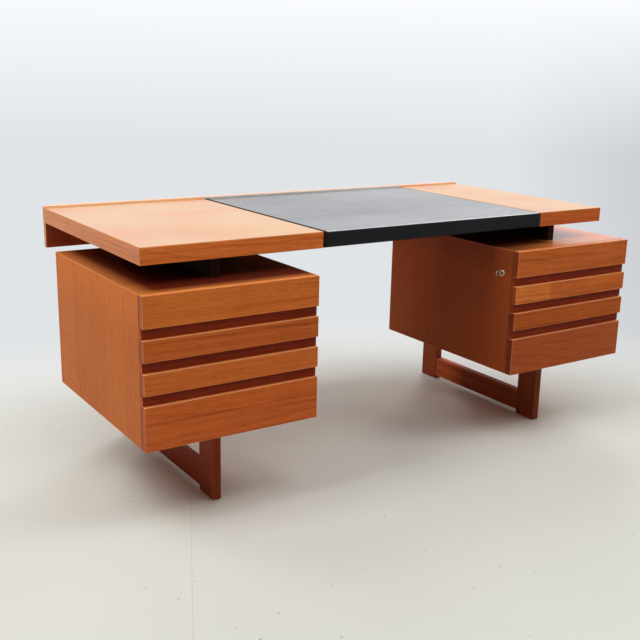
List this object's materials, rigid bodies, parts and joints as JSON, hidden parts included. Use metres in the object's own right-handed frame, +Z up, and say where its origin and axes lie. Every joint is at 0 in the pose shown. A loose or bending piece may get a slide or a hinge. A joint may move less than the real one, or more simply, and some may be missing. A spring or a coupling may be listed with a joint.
{
  "type": "partners desk",
  "caption": "Teak executive desk with a floating top, an off-centre leather writing field, hanging drawer pedestals and plank leg frames; drawers slide and side locks turn.",
  "frame": {"origin": "on the floor, under the middle of the overall width and depth", "axes": "+X to the sitter's right along the top, +Y from the drawer faces towards the back apron, +Z up"},
  "size_m": [1.742, 0.854, 0.736],
  "materials": {
    "teak_top": "satin oiled veneer",
    "teak_panel": "satin oiled veneer",
    "teak_front": "satin oiled veneer",
    "teak_strip": "satin oiled, in shade",
    "teak_leg": "satin oiled",
    "black_wood": "matt black lacquer",
    "drawer_wood": "waxed beech",
    "drawer_ply": "sealed plywood",
    "black_leather": "semi-gloss, fine grain",
    "nickel": "nickel plated",
    "steel": "zinc plated",
    "glide": "matt"
  },
  "bodies": {
    "desk": {"top_board": "teak_top", "leather_cover": "black_leather", "rear_apron": "teak_top", "floor_glides": "glide", "wood_screws": "steel", "post_bolts": "nickel", "lock_bar_guides": "steel", "left_front_post": "teak_leg", "left_rear_post": "teak_leg", "left_stretcher": "teak_leg", "left_top_rail": "black_wood", "left_outer_side": "teak_panel", "left_inner_side": "teak_panel", "left_pedestal_top": "teak_panel", "left_pedestal_bottom": "teak_panel", "left_pedestal_back": "teak_panel", "left_finger_strips": "teak_strip", "left_drawer_runners": "drawer_wood", "left_lock_sleeve": "nickel", "right_front_post": "teak_leg", "right_rear_post": "teak_leg", "right_stretcher": "teak_leg", "right_top_rail": "black_wood", "right_outer_side": "teak_panel", "right_inner_side": "teak_panel", "right_pedestal_top": "teak_panel", "right_pedestal_bottom": "teak_panel", "right_pedestal_back": "teak_panel", "right_finger_strips": "teak_strip", "right_drawer_runners": "drawer_wood", "right_lock_sleeve": "nickel"},
    "left_drawer_1": {"left_drawer_1_front": "teak_front", "left_drawer_1_box": "drawer_wood", "left_drawer_1_bottom": "drawer_ply"},
    "left_drawer_2": {"left_drawer_2_front": "teak_front", "left_drawer_2_box": "drawer_wood", "left_drawer_2_bottom": "drawer_ply"},
    "left_drawer_3": {"left_drawer_3_front": "teak_front", "left_drawer_3_box": "drawer_wood", "left_drawer_3_bottom": "drawer_ply"},
    "left_drawer_4": {"left_drawer_4_front": "teak_front", "left_drawer_4_box": "drawer_wood", "left_drawer_4_bottom": "drawer_ply"},
    "left_lock": {"left_lock_plug": "nickel"},
    "left_bar": {"left_lock_bar": "steel"},
    "right_drawer_1": {"right_drawer_1_front": "teak_front", "right_drawer_1_box": "drawer_wood", "right_drawer_1_bottom": "drawer_ply"},
    "right_drawer_2": {"right_drawer_2_front": "teak_front", "right_drawer_2_box": "drawer_wood", "right_drawer_2_bottom": "drawer_ply"},
    "right_drawer_3": {"right_drawer_3_front": "teak_front", "right_drawer_3_box": "drawer_wood", "right_drawer_3_bottom": "drawer_ply"},
    "right_drawer_4": {"right_drawer_4_front": "teak_front", "right_drawer_4_box": "drawer_wood", "right_drawer_4_bottom": "drawer_ply"},
    "right_lock": {"right_lock_plug": "nickel", "right_lock_key": "nickel"},
    "right_bar": {"right_lock_bar": "steel"}
  },
  "joints": [
    {"name": "left_drawer_1_slide", "type": "slide", "parent": "desk", "child": "left_drawer_1", "axis": [0, -1, 0], "range_m": [0, 0.4]},
    {"name": "left_drawer_2_slide", "type": "slide", "parent": "desk", "child": "left_drawer_2", "axis": [0, -1, 0], "range_m": [0, 0.4]},
    {"name": "left_drawer_3_slide", "type": "slide", "parent": "desk", "child": "left_drawer_3", "axis": [0, -1, 0], "range_m": [0, 0.4]},
    {"name": "left_drawer_4_slide", "type": "slide", "parent": "desk", "child": "left_drawer_4", "axis": [0, -1, 0], "range_m": [0, 0.4]},
    {"name": "left_lock_turn", "type": "hinge", "parent": "desk", "child": "left_lock", "pos_m": [-0.367, -0.36, 0.554], "axis": [1, 0, 0], "range_deg": [0, 90]},
    {"name": "left_bar_lift", "type": "slide", "parent": "desk", "child": "left_bar", "axis": [0, 0, 1], "range_m": [0, 0.00566]},
    {"name": "right_drawer_1_slide", "type": "slide", "parent": "desk", "child": "right_drawer_1", "axis": [0, -1, 0], "range_m": [0, 0.4]},
    {"name": "right_drawer_2_slide", "type": "slide", "parent": "desk", "child": "right_drawer_2", "axis": [0, -1, 0], "range_m": [0, 0.4]},
    {"name": "right_drawer_3_slide", "type": "slide", "parent": "desk", "child": "right_drawer_3", "axis": [0, -1, 0], "range_m": [0, 0.4]},
    {"name": "right_drawer_4_slide", "type": "slide", "parent": "desk", "child": "right_drawer_4", "axis": [0, -1, 0], "range_m": [0, 0.4]},
    {"name": "right_lock_turn", "type": "hinge", "parent": "desk", "child": "right_lock", "pos_m": [0.367, -0.36, 0.554], "axis": [1, 0, 0], "range_deg": [0, 90]},
    {"name": "right_bar_lift", "type": "slide", "parent": "desk", "child": "right_bar", "axis": [0, 0, 1], "range_m": [0, 0.00566]}
  ],
  "couplings": [
    {"joint": "left_lock_turn", "follows": "left_bar_lift", "rad_per_m": 277.66},
    {"joint": "right_lock_turn", "follows": "right_bar_lift", "rad_per_m": 277.66}
  ]
}
